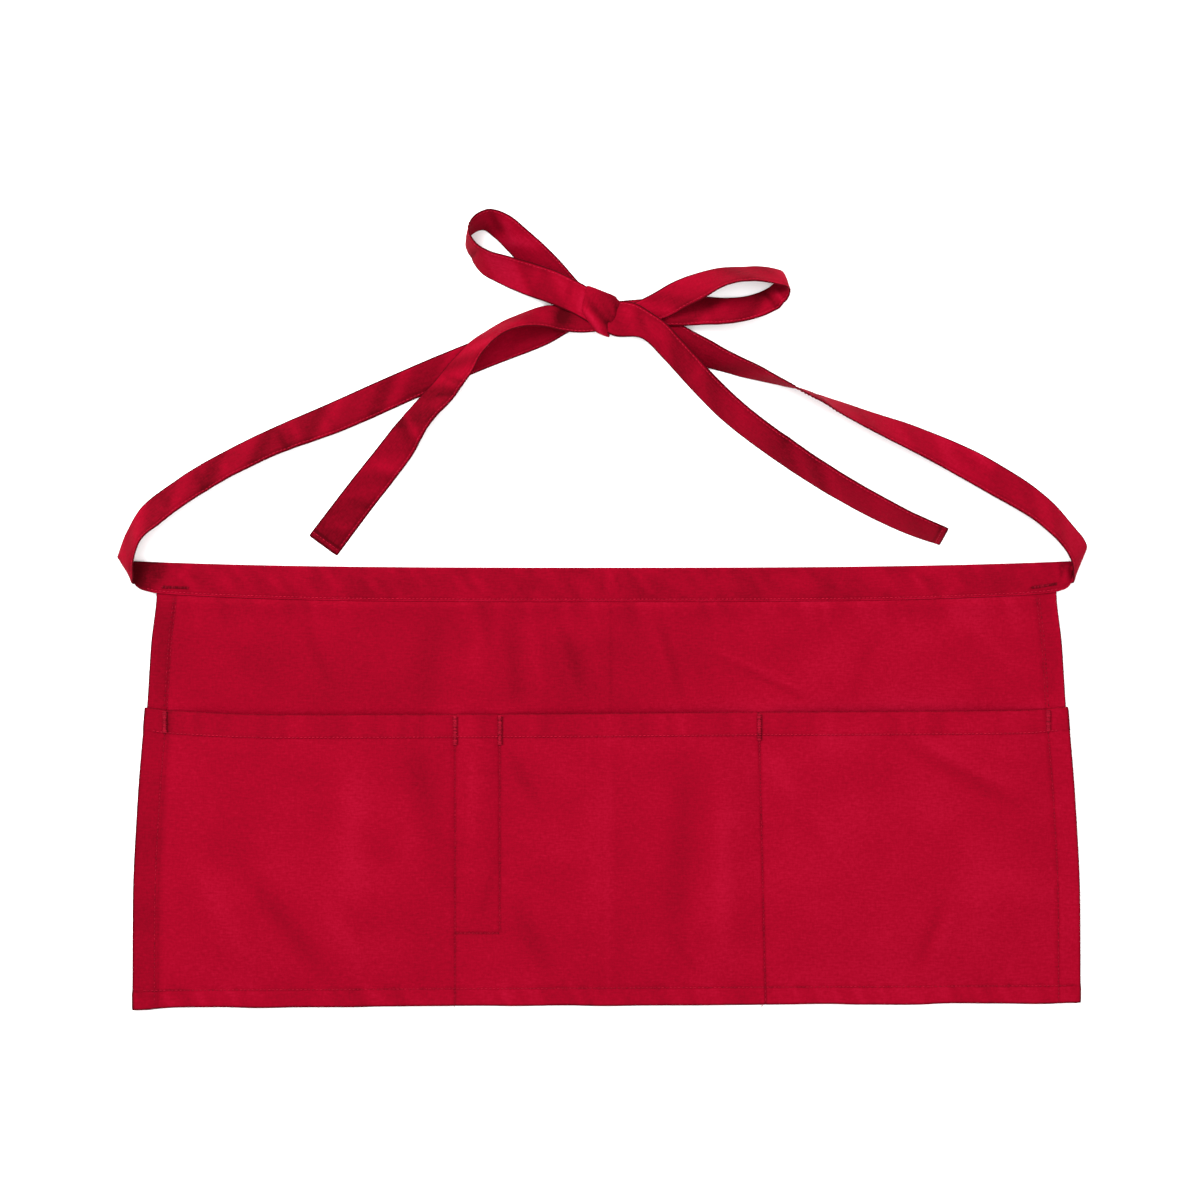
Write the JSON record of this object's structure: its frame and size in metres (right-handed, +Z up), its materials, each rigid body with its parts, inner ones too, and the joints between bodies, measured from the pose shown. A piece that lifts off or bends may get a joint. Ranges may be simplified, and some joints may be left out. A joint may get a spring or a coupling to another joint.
{
  "type": "waist apron",
  "caption": "Short waist apron of plain cloth with a row of sewn pockets, a folded waistband and long ties in a bow, lying flat.",
  "frame": {"origin": "the middle of the waistband's back, on the surface that the apron lies on", "axes": "+X to the apron's right as seen from above, +Y from the hem towards the bow, +Z up off the surface"},
  "size_m": [0.6305, 0.5159, 0.0212],
  "materials": {
    "cloth": "matt woven twill",
    "strap": "matt folded twill"
  },
  "bodies": {
    "root": {"apron_panel": "cloth", "pocket_panel": "cloth", "waistband": "cloth", "tie_left": "strap", "tie_right": "strap", "knot_wrap": "strap"}
  },
  "joints": []
}
